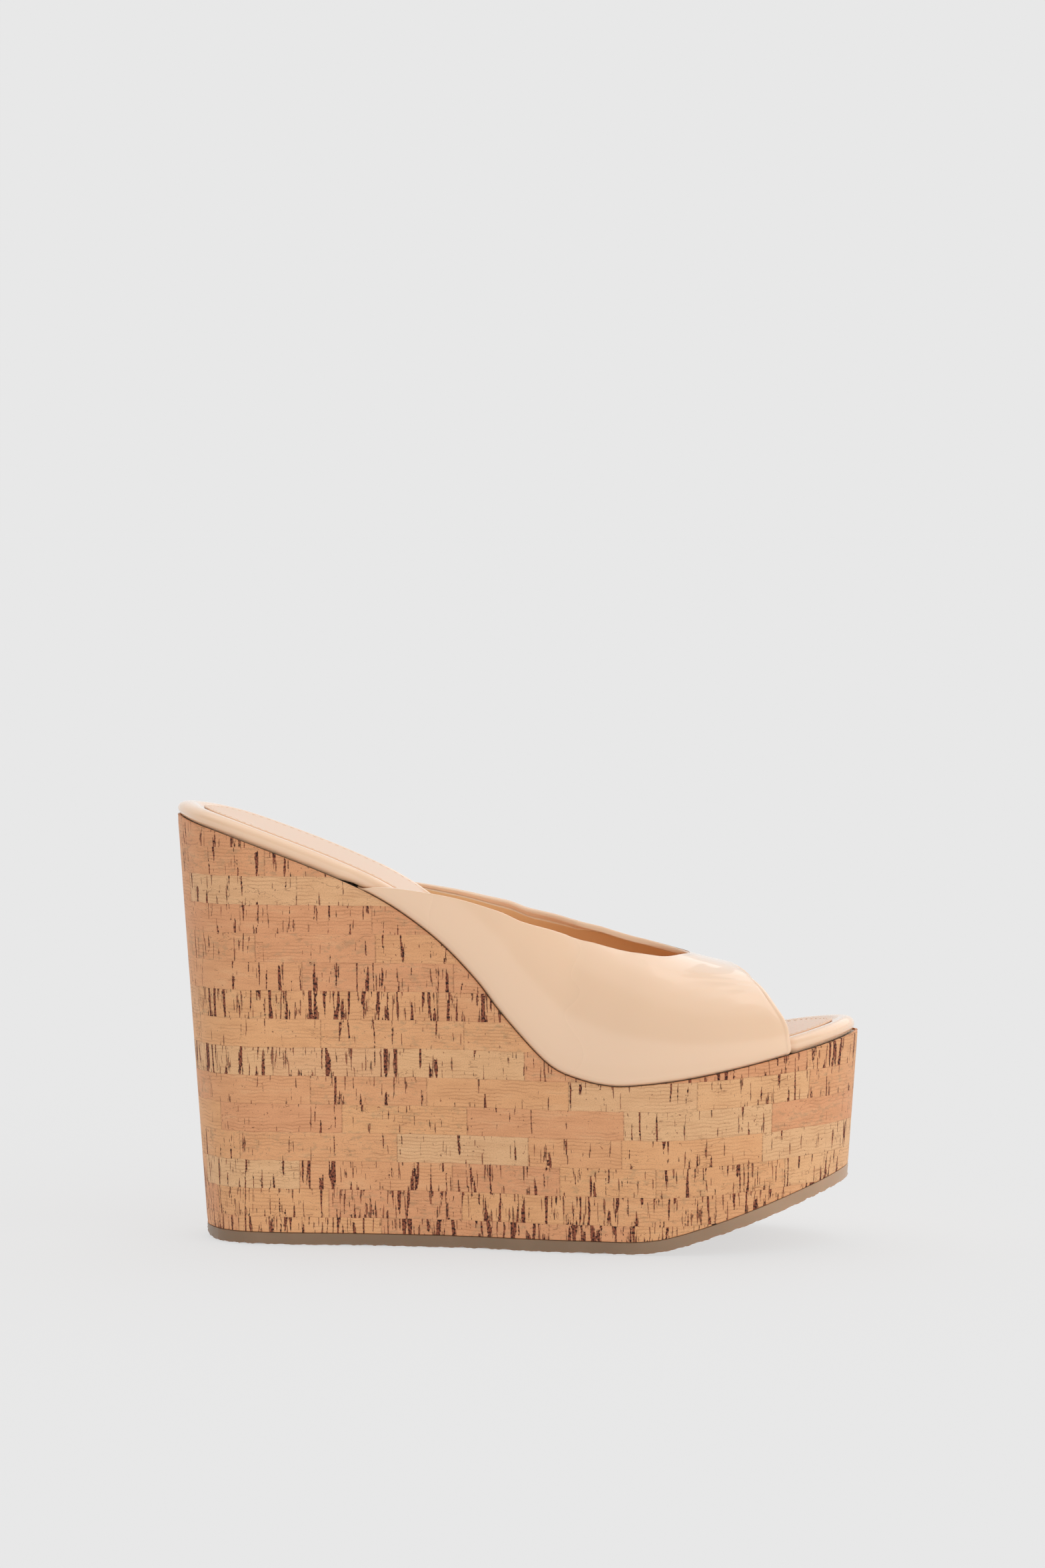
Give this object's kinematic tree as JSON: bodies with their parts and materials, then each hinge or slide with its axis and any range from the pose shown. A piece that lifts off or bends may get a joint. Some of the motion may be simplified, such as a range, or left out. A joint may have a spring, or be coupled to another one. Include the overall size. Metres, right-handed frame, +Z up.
{
  "type": "wedge mule sandal",
  "caption": "High wedge peep-toe mule: cork-wrapped platform wedge, rolled leather footbed edge and one broad glossy upper over the instep.",
  "frame": {"origin": "middle of the bounding box's base, on the surface the outsole stands on", "axes": "+X towards the toe, +Y towards the inner side of the foot, +Z up"},
  "size_m": [0.2156, 0.0812, 0.1383],
  "materials": {
    "outsole_rubber": "smooth translucent moulded rubber",
    "wedge_foam": "light closed-cell foam block",
    "cork": "satin cork veneer with dark streaks",
    "filler": "matte granulated cork filler",
    "shank_steel": "plain spring steel strip",
    "board": "matte cellulose insole board",
    "dark_board": "matte hard fibre board",
    "rivet_brass": "plain brass",
    "nail_steel": "plain wire steel",
    "footbed_foam": "soft foam sheet",
    "sock_leather": "glossy nude coated leather",
    "patent_leather": "glossy nude patent leather",
    "lining_leather": "smooth tan lining leather",
    "interlining_cloth": "plain woven backing cloth"
  },
  "bodies": {
    "root": {"outsole": "outsole_rubber", "wedge_core": "wedge_foam", "cork_wrap": "cork", "bottom_filler": "filler", "steel_shank": "shank_steel", "insole_board": "board", "backpart_board": "dark_board", "shank_rivet_1": "rivet_brass", "shank_rivet_2": "rivet_brass", "heel_nail_1": "nail_steel", "heel_nail_2": "nail_steel", "heel_nail_3": "nail_steel", "heel_nail_4": "nail_steel", "foam_pad": "footbed_foam", "sock_lining": "sock_leather", "insole_wrap": "patent_leather", "upper_outer": "patent_leather", "upper_lining": "lining_leather", "upper_interlining": "interlining_cloth"}
  },
  "joints": []
}
